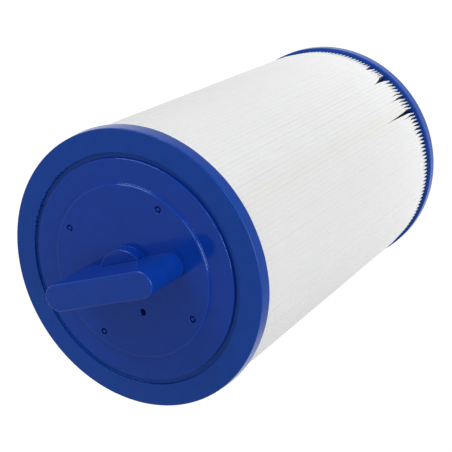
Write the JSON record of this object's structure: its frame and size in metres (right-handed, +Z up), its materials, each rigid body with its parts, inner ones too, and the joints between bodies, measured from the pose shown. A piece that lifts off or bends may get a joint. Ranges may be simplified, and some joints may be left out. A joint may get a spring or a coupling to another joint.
{
  "type": "filter cartridge",
  "caption": "Pleated spa filter cartridge with moulded end caps, a bar grip on its top plate and a threaded outlet nipple below.",
  "frame": {"origin": "centre of the threaded nipple's lower end, on the cartridge's axis", "axes": "+Z up the cartridge's axis from the nipple to the grip, +X along the grip bar, vent hole on the -Y side"},
  "size_m": [0.152, 0.152, 0.3072],
  "materials": {
    "cap_blue": "satin cast polyurethane",
    "plate_blue": "satin moulded plastic",
    "grip_blue": "satin moulded plastic",
    "media_white": "matte spunbond polyester",
    "seam_white": "satin hot-melt adhesive",
    "core_white": "satin moulded plastic",
    "adaptor_blue": "satin moulded plastic"
  },
  "bodies": {
    "root": {"top_end_cap": "cap_blue", "handle_plate": "plate_blue", "hand_grip": "grip_blue", "pleated_media": "media_white", "media_seam": "seam_white", "core_segment_1": "core_white", "core_segment_2": "core_white", "core_segment_3": "core_white", "core_segment_4": "core_white", "bottom_end_cap": "cap_blue", "threaded_adaptor": "adaptor_blue"}
  },
  "joints": []
}
